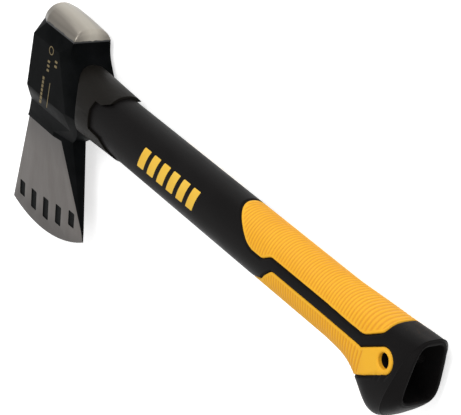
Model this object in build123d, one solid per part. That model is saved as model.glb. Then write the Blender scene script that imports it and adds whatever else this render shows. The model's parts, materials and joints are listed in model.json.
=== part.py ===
from build123d import *
from math import copysign, cos, pi, sin, sqrt
import os

# One-hand hatchet: a forged head on a composite handle with a hollow pommel. Millimetres.
# Everything is built about the lanyard hole: X runs along the handle towards the pommel,
# Y towards the poll, and Z is the tool's thickness. place_row() then lays the finished tool on
# its side, with the origin at the centre of its underside.

# Load-bearing core: a glass-fibre rod in a carbon-fibre sleeve, closed by a plug
CORE_LINE = -1.4
SLEEVE_HALF_DEPTH = 12.6
SLEEVE_HALF_THICKNESS = 9.4
SLEEVE_WALL = 2.6
SLEEVE_END = -30.0
PLUG_FLANGE = 2.5
PLUG_DEPTH = 8.0

# Handle: an oval jacket over the core, with soft panels set in pockets in it
PANEL_THICKNESS = 2.6
JACKET_UNDER_PANEL = 1.4
HANDLE_FULLNESS = 2.2
OVAL_POINTS = 24

# Pommel: a flare down to the heel, a crease where the end bevel starts, a lip round the mouth
FLARE_START = -50.0
FLARE_SECTIONS = 6
FLARE_POWER = 2.2
HEEL_X = -8.0
HEEL_DROP = 15.6
HEEL_RISE = 1.7
HEEL_LEAN = 0.2
POMMEL_SWELL = 0.6
POMMEL_FULLNESS = 3.0
POMMEL_NARROWING = 0.1
CREASE_X = 10.8
CREASE_RISE = 2.8
CREASE_UP = 3.4
CREASE_LEAN = 0.3
LIP_X = 15.9
LIP_UP = 15.4
LIP_RISE = 2.2
LIP_SIDE_INSET = 3.7
LIP_LEAN = 0.08
LIP_FULLNESS = 3.6
LIP_NARROWING = 0.18
LIP_WALL = 2.3
HOLLOW_END = -12.5
HOLLOW_TAPER = 0.7

# Lanyard hole through both walls of the pommel
LANYARD_RADIUS = 4.0
TAB_MARGIN = 2.6
TAB_ANGLE = 30.0
TAB_LENGTH = 18.0

# Side view of the grip panels, and the plain band between them
BACK_PANEL_START = -139.0
BACK_PANEL_RAMP = 23.0
BACK_POINT_UP = 1.6
BELLY_PANEL_START = -119.0
BELLY_PANEL_RAMP = 15.0
PANEL_STEP_X = -104.0
PANEL_STEP_RUN = 6.5
BAND_UP = 5.7
BAND_DOWN = 0.9
BAND_STEP_DOWN = 6.0
PANEL_SLOPE_X = -17.5
BACK_SLOPE_RUN = 11.0
BACK_SLOPE_RISE = 7.0
BELLY_SLOPE_RUN = 8.0
BELLY_SLOPE_DROP = 12.0
BACK_PANEL_END = -5.5
BELLY_PANEL_END = -13.0
CORNER_EASE = 3.0
PANEL_GAP = 0.8

# Head: side outline from its far face, thickness from poll to edge, and the eye
HEAD_FAR_X = -348.5
EYE_BOND = 0.8
EYE_FILL = 3.0
EYE_WALL = 4.8
EYE_BELLY_COVER = 4.8
POLL_LENGTH = 40.0
POLL_LINE_UP = 20.0
POLL_TOP_UP = 29.0
POLL_END_DROP = 1.3
POLL_NARROWING = 3.0
POLL_CORNER = 3.0
POLL_CORNER_SLOPE = 0.4
POLL_CORNER_FALL = 0.1
CROWN_RADIUS = 14.0
CHEEK_UP = 10.0
CHEEK_TAPER = 11.0
FAR_SHOULDER_OUT = 2.0
FAR_SHOULDER_DROP = 6.0
FAR_NECK_OUT = 4.5
FAR_NECK_DROP = 17.0
LUG_LENGTH = 55.5
LUG_SHOULDER = 3.0
LUG_HIGH = 9.0
LUG_LOW = -17.0
LUG_FACET_START = 35.5
LUG_FACET_SLOPE = 0.2
LUG_FACET_FALL = 0.1
POLL_FOOT = 2.5
POLL_FOOT_DROP = 12.0
NECK_LENGTH = 41.8
NECK_DOWN = 15.2
BLADE_HALF_THICKNESS = 8.8
BLADE_TAPER = 1.0
NECK_EDGE_HALF_THICKNESS = 4.4
NECK_FACET_SLOPE = 0.2
NECK_FACET_RISE = 0.55
TOE_OUT = 22.1
HEEL_LENGTH = 61.5

# Cutting edge: an arc whose two ground faces are one double cone
EDGE_RADIUS = 111.0
EDGE_CENTRE_IN = 8.2
EDGE_DOWN = 84.1
EDGE_HALF_THICKNESS = 0.25
GRIND_DOWN = 18.2
GRIND_STEP = 0.9

# Row of shallow recesses along the ground faces
RECESS_COUNT = 5
RECESS_PITCH = 14.75
RECESS_MIDDLE_IN = 18.5
RECESS_WIDTH = 6.4
RECESS_LENGTH = 13.4
RECESS_SHORTER = 0.95
RECESS_ARC_RADIUS = 136.0
RECESS_ARC_IN = 1.0
RECESS_ABOVE_EDGE = 14.0
RECESS_DEPTH = 0.6
RECESS_CORNER = 0.8

# Over-strike guard: a tapered ring with one tongue on the back and one on the belly
GUARD_START_IN = 28.5
GUARD_RING_IN = 70.5
GUARD_BACK_TONGUE_IN = 83.5
GUARD_BELLY_TONGUE_IN = 93.5
GUARD_END_IN = 96.5
GUARD_BACK_RISE = 4.6
GUARD_BELLY_RISE = 3.2
GUARD_SIDE_RISE = 1.6
GUARD_END_RISE = 1.2
GUARD_BELLY_END_RISE = 0.4
TONGUE_BACK_UP = 11.4
TONGUE_BELLY_DOWN = 5.6
GUARD_CLEARANCE = 0.3

# Overlaps of cutting shapes, longer than the piece that they cut
OVERCUT = 1.0
REACH = 60.0

# Sizes worked out from the ones above
JACKET_WALL = PANEL_THICKNESS + JACKET_UNDER_PANEL
HANDLE_LOW = CORE_LINE - SLEEVE_HALF_DEPTH - JACKET_WALL
HANDLE_HIGH = CORE_LINE + SLEEVE_HALF_DEPTH + JACKET_WALL
HANDLE_HALF_THICKNESS = SLEEVE_HALF_THICKNESS + JACKET_WALL
HEEL_LOW = HANDLE_LOW - HEEL_DROP
POMMEL_HIGH = HANDLE_HIGH + CREASE_RISE
POMMEL_HALF_THICKNESS = HANDLE_HALF_THICKNESS + POMMEL_SWELL
TAB_RADIUS = LANYARD_RADIUS + TAB_MARGIN
BAND_HIGH = CORE_LINE + BAND_UP
BAND_LOW = CORE_LINE - BAND_DOWN
EYE_HIGH = CORE_LINE + SLEEVE_HALF_DEPTH + EYE_BOND
EYE_LOW = CORE_LINE - SLEEVE_HALF_DEPTH - EYE_BOND
CHEEK_HALF_THICKNESS = SLEEVE_HALF_THICKNESS + EYE_BOND + EYE_WALL
CHEEK_HIGH = EYE_HIGH + CHEEK_UP
CHEEK_LOW = EYE_LOW + EYE_BELLY_COVER
POLL_HALF_THICKNESS = CHEEK_HALF_THICKNESS - POLL_NARROWING
POLL_LINE = EYE_HIGH + POLL_LINE_UP
POLL_TOP = EYE_HIGH + POLL_TOP_UP
POLL_RIGHT = HEAD_FAR_X + POLL_LENGTH
LUG_RIGHT = HEAD_FAR_X + LUG_LENGTH
NECK_RIGHT = HEAD_FAR_X + NECK_LENGTH
NECK_Y = EYE_LOW - NECK_DOWN
GRIND_LINE = EYE_LOW - GRIND_DOWN
EDGE_X = HEAD_FAR_X + EDGE_CENTRE_IN
EDGE_LOW = EYE_LOW - EDGE_DOWN
EDGE_Y = EDGE_LOW + EDGE_RADIUS
TOE_X = HEAD_FAR_X - TOE_OUT
HEEL_CORNER_X = HEAD_FAR_X + HEEL_LENGTH
GUARD_START = HEAD_FAR_X + GUARD_START_IN
GUARD_RING_X = HEAD_FAR_X + GUARD_RING_IN
GUARD_BACK_TONGUE = HEAD_FAR_X + GUARD_BACK_TONGUE_IN
GUARD_BELLY_TONGUE = HEAD_FAR_X + GUARD_BELLY_TONGUE_IN
GUARD_END = HEAD_FAR_X + GUARD_END_IN
TONGUE_HIGH = CORE_LINE + TONGUE_BACK_UP
TONGUE_LOW = CORE_LINE - TONGUE_BELLY_DOWN


def oval(x, low, high, half_thickness, lean=0.0, fullness=HANDLE_FULLNESS, narrowing=0.0):
    """Closed oval from y = low to y = high, in a plane that leans along X as y rises."""
    middle = (low + high) / 2
    half_depth = (high - low) / 2
    power = 2 / fullness
    points = []
    for step in range(OVAL_POINTS):
        angle = 2 * pi * step / OVAL_POINTS
        y = middle + half_depth * copysign(abs(cos(angle)) ** power, cos(angle))
        width = half_thickness * (1 - narrowing * (y - middle) / half_depth)
        z = width * copysign(abs(sin(angle)) ** power, sin(angle))
        points.append((x + lean * y, y, z))
    return make_face(Spline(*points, periodic=True))


def prism(points):
    """Side-view outline taken right through the tool's thickness."""
    outline = make_face(Polyline(*points, close=True))
    return extrude(outline, amount=REACH, both=True)


def both_sides(shape):
    """A shape above the mid-plane, and its mirror image below it."""
    return [shape, mirror(shape, Plane.XY)]


def slab_above(origin, along, across):
    """Slab above a plane through origin that falls by along over X and by across over Y."""
    plane = Plane(origin, x_dir=(1, 0, -along), z_dir=(along, across, 1))
    return plane * Pos(0, 0, REACH / 2) * Box(4 * REACH, 4 * REACH, REACH)


def straight_form(inset):
    """Straight length of handle, every face moved in by inset."""
    face = oval(GUARD_START, HANDLE_LOW + inset, HANDLE_HIGH - inset, HANDLE_HALF_THICKNESS - inset)
    return extrude(face, amount=FLARE_START - GUARD_START, dir=(1, 0, 0))


def flare_form(inset):
    """Flare from the straight handle to the crease, every face moved in by inset."""
    faces = []
    for section in range(FLARE_SECTIONS + 1):
        along = section / FLARE_SECTIONS
        sink = (1 - cos(pi * along ** FLARE_POWER)) / 2
        low = HANDLE_LOW - HEEL_DROP * sink
        high = HANDLE_HIGH + HEEL_RISE * along ** 2
        half = HANDLE_HALF_THICKNESS + POMMEL_SWELL * along
        lean = HEEL_LEAN * along ** 2
        fullness = HANDLE_FULLNESS + (POMMEL_FULLNESS - HANDLE_FULLNESS) * along
        x = FLARE_START + (HEEL_X - FLARE_START) * along - lean * low
        faces.append(oval(x, low + inset, high - inset, half - inset, lean, fullness))
    faces.append(crease_face(inset))
    return loft(faces)


def crease_face(inset=0.0):
    """Oval at the crease, where the end bevel starts."""
    low = HEEL_LOW + CREASE_UP + inset
    half = POMMEL_HALF_THICKNESS - inset
    return oval(CREASE_X, low, POMMEL_HIGH - inset, half, CREASE_LEAN, POMMEL_FULLNESS, POMMEL_NARROWING)


def mouth(x, wall, scale=1.0):
    """Outline of the pommel's end: nearly flat at the belly, arched and narrower at the back."""
    low = (HEEL_LOW + LIP_UP + wall) * scale
    high = (HANDLE_HIGH + LIP_RISE - wall) * scale
    half = (POMMEL_HALF_THICKNESS - LIP_SIDE_INSET - wall) * scale
    return oval(x, low, high, half, LIP_LEAN, LIP_FULLNESS, LIP_NARROWING)


def pommel_end():
    """Bevel from the crease to the lip."""
    return loft([crease_face(), mouth(LIP_X, 0)], ruled=True)


def hollow():
    """Space inside the pommel, open at the end."""
    inner = mouth(HOLLOW_END, LIP_WALL, HOLLOW_TAPER)
    outer = mouth(LIP_X + 2 * LIP_WALL, LIP_WALL)
    return loft([inner, outer], ruled=True)


def core_oval(start, end, growth):
    """Length of the core's plain ellipse, its surface moved out by growth."""
    plane = Plane((start, CORE_LINE, 0), x_dir=(0, 1, 0), z_dir=(1, 0, 0))
    ellipse = Ellipse(SLEEVE_HALF_DEPTH + growth, SLEEVE_HALF_THICKNESS + growth)
    return extrude(plane * ellipse, amount=end - start)


def lanyard_hole():
    """Straight hole through the pommel's two walls."""
    return Cylinder(LANYARD_RADIUS, 2 * REACH)


def lanyard_tab(gap=0.0):
    """Slanting tab that carries the belly panel round the lanyard hole, grown by gap."""
    radius = TAB_RADIUS + gap
    band = Pos(-TAB_LENGTH / 2, 0, 0) * Box(TAB_LENGTH, 2 * radius, 2 * REACH)
    return Rot(0, 0, TAB_ANGLE) * (band + Cylinder(radius, 2 * REACH))


def back_outline():
    """Side view of the back panel; everything above this line belongs to it."""
    ramp_low = CORE_LINE + BACK_POINT_UP
    slope_end = PANEL_SLOPE_X + BACK_SLOPE_RUN
    slope_high = BAND_HIGH + BACK_SLOPE_RISE
    points = [
        (BACK_PANEL_START, HANDLE_HIGH + OVERCUT),
        (BACK_PANEL_START + BACK_PANEL_RAMP, ramp_low),
        (PANEL_STEP_X, ramp_low),
        (PANEL_STEP_X + PANEL_STEP_RUN, BAND_HIGH),
        (PANEL_SLOPE_X, BAND_HIGH),
        (slope_end, slope_high),
        ((slope_end + BACK_PANEL_END) / 2, slope_high + CORNER_EASE),
        (BACK_PANEL_END, HANDLE_HIGH + CORNER_EASE),
        (BACK_PANEL_END, REACH),
        (BACK_PANEL_START, REACH),
    ]
    return prism(points) - lanyard_tab(PANEL_GAP)


def belly_outline():
    """Side view of the belly panel, with its tab round the lanyard hole."""
    ramp_end = BELLY_PANEL_START + BELLY_PANEL_RAMP
    slope_end = PANEL_SLOPE_X + BELLY_SLOPE_RUN
    slope_low = BAND_LOW - BELLY_SLOPE_DROP
    points = [
        (BELLY_PANEL_START, -REACH),
        (BELLY_PANEL_START, HANDLE_LOW + OVERCUT),
        (BELLY_PANEL_START + BELLY_PANEL_RAMP / 2, HANDLE_LOW + CORNER_EASE),
        (ramp_end, HANDLE_LOW + 2 * CORNER_EASE),
        (PANEL_STEP_X + CORNER_EASE, BAND_LOW - BAND_STEP_DOWN),
        (PANEL_STEP_X + CORNER_EASE + PANEL_STEP_RUN, BAND_LOW),
        (PANEL_SLOPE_X, BAND_LOW),
        (slope_end, slope_low),
        (BELLY_PANEL_END + CORNER_EASE / 2, slope_low - CORNER_EASE),
        (BELLY_PANEL_END, slope_low - 2 * CORNER_EASE),
        (BELLY_PANEL_END, -REACH),
    ]
    return prism(points) + lanyard_tab()


def make_grip():
    """Jacket with its pommel, the two panels set in its pockets, and the plain outer form."""
    form = straight_form(0) + flare_form(0) + pommel_end()
    deep = straight_form(PANEL_THICKNESS) + flare_form(PANEL_THICKNESS)
    back_pocket = back_outline() - deep
    belly_pocket = belly_outline() - deep
    back_panel = form & back_pocket
    belly_panel = (form & belly_pocket) - lanyard_hole()
    jacket = form - back_pocket - belly_pocket
    jacket -= core_oval(GUARD_START, SLEEVE_END + PLUG_FLANGE, 0)
    jacket -= core_oval(SLEEVE_END, HOLLOW_END + OVERCUT, -SLEEVE_WALL)
    jacket -= hollow()
    jacket -= lanyard_hole()
    jacket -= head_outline(GUARD_CLEARANCE)
    return jacket, back_panel, belly_panel, form


def edge_point(x):
    """Point of the cutting edge at x."""
    return (x, EDGE_Y - sqrt(EDGE_RADIUS ** 2 - (x - EDGE_X) ** 2))


def head_outline(grow=0.0):
    """Side view of the head; grow moves the side that faces the handle outwards."""
    toe = edge_point(TOE_X)
    heel = edge_point(HEEL_CORNER_X + grow)
    poll_end = POLL_TOP - POLL_END_DROP
    neck = Line((NECK_RIGHT + grow, NECK_Y), heel)
    lug = Spline(
        (POLL_RIGHT + grow, POLL_LINE),
        (POLL_RIGHT + POLL_FOOT + grow, POLL_LINE - POLL_FOOT_DROP),
        (LUG_RIGHT - LUG_SHOULDER + grow, LUG_HIGH),
        (LUG_RIGHT + grow, (LUG_HIGH + LUG_LOW) / 2),
        (LUG_RIGHT - LUG_SHOULDER + grow, LUG_LOW),
        (NECK_RIGHT + grow, NECK_Y),
    )
    edge = ThreePointArc(heel, (EDGE_X, EDGE_LOW), toe)
    back = Polyline(
        toe,
        (HEAD_FAR_X - FAR_NECK_OUT, CHEEK_LOW - FAR_NECK_DROP),
        (HEAD_FAR_X - FAR_SHOULDER_OUT, CHEEK_LOW - FAR_SHOULDER_DROP),
        (HEAD_FAR_X, CHEEK_LOW),
        (HEAD_FAR_X, poll_end),
    )
    crown_middle = ((HEAD_FAR_X + POLL_RIGHT) / 2, POLL_TOP)
    crown = ThreePointArc((HEAD_FAR_X, poll_end), crown_middle, (POLL_RIGHT + grow, poll_end))
    face = Line((POLL_RIGHT + grow, poll_end), (POLL_RIGHT + grow, POLL_LINE))
    edges = []
    for line in (neck, lug, edge, back, crown, face):
        edges.extend(line.edges())
    return extrude(make_face(edges), amount=REACH, both=True)


def head_thickness():
    """Thickness down the head, from poll to edge, seen along the handle."""
    upper_half = [
        (2 * REACH, POLL_HALF_THICKNESS),
        (POLL_LINE - OVERCUT, POLL_HALF_THICKNESS),
        (CHEEK_HIGH, CHEEK_HALF_THICKNESS),
        (CHEEK_LOW, CHEEK_HALF_THICKNESS),
        (CHEEK_LOW - CHEEK_TAPER, BLADE_HALF_THICKNESS),
        (NECK_Y, BLADE_HALF_THICKNESS - BLADE_TAPER),
        (-2 * REACH, BLADE_HALF_THICKNESS - 2 * BLADE_TAPER),
    ]
    lower_half = [(y, -z) for y, z in reversed(upper_half)]
    points = [(TOE_X - REACH, y, z) for y, z in upper_half + lower_half]
    return extrude(make_face(Polyline(*points, close=True)), amount=4 * REACH, dir=(1, 0, 0))


def crown_cut():
    """What lies outside the cylinder that crowns the poll across its width."""
    centre = POLL_TOP - CROWN_RADIUS
    above = Pos(HEAD_FAR_X, centre + 2 * REACH, 0) * Box(4 * REACH, 4 * REACH, 4 * REACH)
    column = Pos(HEAD_FAR_X, centre, 0) * Rot(0, 90, 0) * Cylinder(CROWN_RADIUS, 4 * REACH)
    return above - column


def poll_corner():
    """Corner taken off between the poll's side and the head's far face, down to the cheek."""
    origin = (HEAD_FAR_X, POLL_LINE - OVERCUT, POLL_HALF_THICKNESS - POLL_CORNER)
    rise = CHEEK_HALF_THICKNESS - POLL_HALF_THICKNESS + POLL_CORNER
    steep = rise / (POLL_LINE - OVERCUT - CHEEK_HIGH)
    lower = slab_above(origin, -POLL_CORNER_SLOPE, steep)
    upper = slab_above(origin, -POLL_CORNER_SLOPE, POLL_CORNER_FALL)
    return lower & upper


def ground_wedge():
    """Double cone whose rim is the cutting edge; both ground faces lie on it."""
    full = BLADE_HALF_THICKNESS - BLADE_TAPER - GRIND_STEP
    slope = (full - EDGE_HALF_THICKNESS) / (GRIND_LINE - EDGE_LOW)
    radius = EDGE_RADIUS + EDGE_HALF_THICKNESS / slope
    height = radius * slope
    upper = Pos(0, 0, height / 2) * Cone(radius, 0, height)
    return Pos(EDGE_X, EDGE_Y, 0) * (upper + mirror(upper, Plane.XY))


def recesses(wedge):
    """Row of shallow pockets in both ground faces, following the edge."""
    middle = (RECESS_COUNT - 1) / 2
    floor = Pos(0, 0, -RECESS_DEPTH) * wedge & Pos(0, 0, RECESS_DEPTH) * wedge
    arc_x = HEAD_FAR_X + RECESS_ARC_IN
    arc_y = EDGE_LOW + RECESS_ABOVE_EDGE + RECESS_ARC_RADIUS
    cutters = []
    for index in range(RECESS_COUNT):
        x = HEAD_FAR_X + RECESS_MIDDLE_IN + (index - middle) * RECESS_PITCH
        y = arc_y - sqrt(RECESS_ARC_RADIUS ** 2 - (x - arc_x) ** 2)
        length = RECESS_LENGTH - RECESS_SHORTER * (index - middle) ** 2
        shape = RectangleRounded(RECESS_WIDTH, length, RECESS_CORNER)
        cutters.append(extrude(Pos(x, y) * shape, amount=REACH, both=True) - floor)
    return cutters


def make_head():
    """Forged head with its eye, ground faces and recesses."""
    wedge = ground_wedge()
    below = Pos(EDGE_X, GRIND_LINE - REACH, 0) * Box(4 * REACH, 2 * REACH, 4 * REACH)
    neck_edge = (NECK_RIGHT, NECK_Y, NECK_EDGE_HALF_THICKNESS)
    neck_facet = slab_above(neck_edge, NECK_FACET_SLOPE, 0)
    neck_facet &= slab_above(neck_edge, NECK_FACET_SLOPE, -NECK_FACET_RISE)
    lug_edge = (HEAD_FAR_X + LUG_FACET_START, EYE_HIGH, CHEEK_HALF_THICKNESS)
    lug_facet = slab_above(lug_edge, LUG_FACET_SLOPE, LUG_FACET_FALL)
    blank = head_outline() & head_thickness()
    blank -= below - wedge
    blank -= crown_cut()
    for facet in (neck_facet, lug_facet, poll_corner()):
        for side in both_sides(facet):
            blank -= side
    for cutter in recesses(wedge):
        blank -= cutter
    return blank - core_oval(HEAD_FAR_X - REACH, LUG_RIGHT + REACH, EYE_BOND)


def make_bond():
    """Cured adhesive round the core in the eye, poured flush over its end."""
    outside = core_oval(HEAD_FAR_X, NECK_RIGHT, EYE_BOND)
    return outside - core_oval(HEAD_FAR_X + EYE_FILL, LUG_RIGHT, 0)


def make_core():
    """Rod and sleeve from the eye to the pommel, and the plug that closes them."""
    start = HEAD_FAR_X + EYE_FILL
    rod_end = SLEEVE_END - PLUG_DEPTH
    rod = core_oval(start, rod_end, -SLEEVE_WALL)
    sleeve = core_oval(start, SLEEVE_END, 0) - core_oval(start - OVERCUT, SLEEVE_END + OVERCUT, -SLEEVE_WALL)
    flange = core_oval(SLEEVE_END, SLEEVE_END + PLUG_FLANGE, 0)
    plug = flange + core_oval(rod_end, SLEEVE_END, -SLEEVE_WALL)
    return rod, sleeve, plug


def guard_window():
    """Side view of what the guard leaves open between and beyond its tongues."""
    points = [
        (GUARD_RING_X - OVERCUT, TONGUE_HIGH - 2 * CORNER_EASE),
        (GUARD_RING_X + OVERCUT, TONGUE_HIGH),
        (GUARD_BACK_TONGUE - 2 * CORNER_EASE, TONGUE_HIGH),
        (GUARD_BACK_TONGUE, TONGUE_HIGH + CORNER_EASE),
        (GUARD_BACK_TONGUE, REACH),
        (GUARD_END + REACH, REACH),
        (GUARD_END + REACH, -REACH),
        (GUARD_BELLY_TONGUE, -REACH),
        (GUARD_BELLY_TONGUE, HANDLE_LOW + CORNER_EASE),
        (GUARD_BELLY_TONGUE - 2 * CORNER_EASE, TONGUE_LOW - 2 * CORNER_EASE),
        (GUARD_BELLY_TONGUE - 4 * CORNER_EASE, TONGUE_LOW - OVERCUT),
        (GUARD_RING_X, TONGUE_LOW),
    ]
    return prism(points)


def make_guard(form):
    """Guard moulded over the handle where it leaves the head."""
    low = HANDLE_LOW - GUARD_BELLY_RISE
    high = HANDLE_HIGH + GUARD_BACK_RISE
    end_low = HANDLE_LOW - GUARD_BELLY_END_RISE
    end_high = HANDLE_HIGH + GUARD_END_RISE
    thick = oval(GUARD_START, low, high, HANDLE_HALF_THICKNESS + GUARD_SIDE_RISE)
    thin = oval(GUARD_END, end_low, end_high, HANDLE_HALF_THICKNESS + GUARD_END_RISE)
    ring = loft([thick, thin], ruled=True)
    return ring - form - guard_window() - head_outline(GUARD_CLEARANCE)


def main_solid(shape):
    """Largest solid of a shape, without the offcuts beyond the head."""
    return max(shape.solids(), key=lambda solid: solid.volume)


def make_parts():
    """Every piece of the tool by name, still about the lanyard hole."""
    jacket, back_panel, belly_panel, form = make_grip()
    rod, sleeve, plug = make_core()
    return {
        "axe_head": make_head(),
        "eye_bond": make_bond(),
        "core_rod": rod,
        "core_sleeve": sleeve,
        "core_plug": plug,
        "handle_jacket": main_solid(jacket),
        "strike_guard": main_solid(make_guard(form)),
        "grip_back_panel": back_panel,
        "grip_belly_panel": belly_panel,
    }


def place_row(parts):
    """Move the tool so that the origin is at the centre of its underside."""
    whole = Compound([solid for part in parts.values() for solid in part.solids()])
    box = whole.bounding_box()
    shift = (-box.center().X, -box.center().Y, -box.min.Z)
    return {name: Pos(*shift) * part for name, part in parts.items()}, shift


os.makedirs("parts", exist_ok=True)
placed, row_shift = place_row(make_parts())
for name, part in placed.items():
    export_step(part, f"parts/{name}.step")
print("lanyard hole axis at x, y", row_shift[0], row_shift[1], "and half way up", row_shift[2])
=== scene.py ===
import json
import math

import bmesh
import bpy
import numpy as np
from mathutils import Matrix, Vector


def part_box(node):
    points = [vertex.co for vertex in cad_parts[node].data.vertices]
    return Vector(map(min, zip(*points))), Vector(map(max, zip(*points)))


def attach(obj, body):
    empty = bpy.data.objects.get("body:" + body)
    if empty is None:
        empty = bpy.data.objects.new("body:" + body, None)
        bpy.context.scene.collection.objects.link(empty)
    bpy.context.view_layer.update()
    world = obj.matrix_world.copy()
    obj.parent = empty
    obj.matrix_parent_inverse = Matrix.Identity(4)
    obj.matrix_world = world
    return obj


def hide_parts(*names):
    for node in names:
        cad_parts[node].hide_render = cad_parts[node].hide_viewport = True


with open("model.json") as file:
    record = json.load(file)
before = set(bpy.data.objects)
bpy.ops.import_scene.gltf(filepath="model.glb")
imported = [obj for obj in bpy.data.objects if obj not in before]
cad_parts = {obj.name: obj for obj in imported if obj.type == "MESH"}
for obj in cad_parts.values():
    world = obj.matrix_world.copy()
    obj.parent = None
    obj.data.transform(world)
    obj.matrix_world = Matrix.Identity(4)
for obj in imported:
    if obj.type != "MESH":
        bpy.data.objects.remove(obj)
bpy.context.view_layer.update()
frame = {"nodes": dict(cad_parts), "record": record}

# Sizes are in millimetres from the lanyard hole's centre, as in the CAD: X along the handle
# towards the pommel, Y towards the poll, Z through the tool's thickness.
MM = 0.001
MOUNTS = {mount["name"]: mount for mount in frame["record"]["mounts"]}
ORIGIN = np.array(MOUNTS["lanyard_hole"]["pos_m"])
HOLE_RADIUS = MOUNTS["lanyard_hole"]["dims"]["r_mm"]


def tool_box(node):
    """A CAD node's lowest and highest corners in millimetres from the lanyard hole."""
    low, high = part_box(node)
    return (np.array(low) - ORIGIN) / MM, (np.array(high) - ORIGIN) / MM


CORE_LOW, CORE_HIGH = tool_box("core_sleeve")
HEAD_LOW, HEAD_HIGH = tool_box("axe_head")
GUARD_LOW = tool_box("strike_guard")[0]

# Handle section: an oval round the core
JACKET_WALL = 4.0
CORE_LINE = (CORE_LOW[1] + CORE_HIGH[1]) / 2
HANDLE_LOW = CORE_LOW[1] - JACKET_WALL
HANDLE_HIGH = CORE_HIGH[1] + JACKET_WALL
HANDLE_HALF = CORE_HIGH[2] + JACKET_WALL
HANDLE_FULLNESS = 2.2

# Flare from the straight handle to the heel of the pommel
FLARE_START = -50.0
FLARE_POWER = 2.2
HEEL_X = -8.0
HEEL_DROP = 15.6
HEEL_RISE = 1.7
HEEL_LEAN = 0.2
POMMEL_SWELL = 0.6
POMMEL_FULLNESS = 3.0
POMMEL_NARROWING = 0.1

# Crease where the pommel's bevelled end starts, and the low bead just past it: the share of the way
# to the lip at which each of its rows lies, and how far that row stands out
CREASE_X = 10.8
CREASE_UP = 3.4
CREASE_RISE = 2.8
CREASE_LEAN = 0.3
CREASE_BEAD = ((0.012, 0.18), (0.03, 0.26), (0.048, 0.18), (0.06, 0))

# Lip at the pommel's end: its wall at the sides, how many times thicker it is at the belly and the
# back, and the rows of its rounded rim (back from the end, in from the outside); then the hollow
LIP_X = 15.9
LIP_UP = 15.4
LIP_RISE = 2.2
LIP_SIDE_INSET = 3.7
LIP_LEAN = 0.08
LIP_FULLNESS = 3.6
LIP_NARROWING = 0.18
LIP_WALL = 1.4
LIP_WALL_LOW = 1.3
LIP_WALL_HIGH = 1.7
LIP_RIM = ((0.5, 0), (0.18, 0.12), (0.03, 0.4), (0, 0.75), (0.1, 1.1), (0.5, LIP_WALL))
HOLLOW_START = LIP_X - 0.6
HOLLOW_END = -12.5
HOLLOW_TAPER = 0.7

# Grip panels, seen from the side
BAND_HIGH = CORE_LINE + 5.7
BAND_LOW = CORE_LINE - 0.9
STEP_X = -104.0
SLOPE_X = -17.5
TAB_RADIUS = HOLE_RADIUS + 2.6
TAB_ANGLE = math.radians(30)
TAB_LENGTH = 18.0
TAB_BLEND = 0.5
RIB_PITCH = 2.15
RIB_HEIGHT = 0.4
BACK_RANGE = (-141, -4)
BACK_TURN = (-2.2, 2.2)
BACK_RIB_END = -4.0
BELLY_RANGE = (-121, 5.5)
BELLY_TURN = (0.9, 2 * math.pi - 0.9)
BELLY_RIB_END = SLOPE_X + 1.5
BORDER = 1.3
GROOVE = 0.7
POCKET_DEPTH = 1.1
PANEL_EDGE = 0.9
PANEL_SINK = 0.02

# Grid steps of the panels and the jacket: along the handle in millimetres, and round it in radians
# or columns
PANEL_STEP = 0.34
PANEL_TURN = 0.026
JACKET_COLUMNS = 256
JACKET_START = GUARD_LOW[0] + 14
PLAIN_END = -143.0
PLAIN_STEP = 3.0
GRIP_START = -142.0
GRIP_END = -20.0
GRIP_STEP = 0.65
TAB_STEP = 0.34
BEVEL_ROWS = 15
HOLLOW_ROWS = 40
HOLE_MARGIN = 0.4

# Wall of the lanyard hole: a yellow eyelet inside a slightly wider black tube, by depth below the
# surface
EYELET_TOP = PANEL_EDGE * 0.8
EYELET_BOTTOM = 2.6
BORE_TOP = 0.9
BORE_BOTTOM = 13.2
BORE_CLEARANCE = 0.05


def mesh_object(name, vertices, faces, material):
    """Smooth mesh piece from points in millimetres, riding on the one body."""
    points = (np.asarray(vertices) * MM + ORIGIN).tolist()
    mesh = bpy.data.meshes.new(name)
    mesh.from_pydata(points, [], [tuple(map(int, face)) for face in faces])
    mesh.materials.append(material)
    mesh.shade_smooth()
    mesh.update()
    piece = bpy.data.objects.new(name, mesh)
    bpy.context.scene.collection.objects.link(piece)
    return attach(piece, "root")


def smoothstep(low, high, value):
    """0 below low, 1 above high, and a smooth rise between."""
    t = np.clip((value - low) / (high - low), 0, 1)
    return t * t * (3 - 2 * t)


# ---------------------------------------------------------------- handle surface

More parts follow.
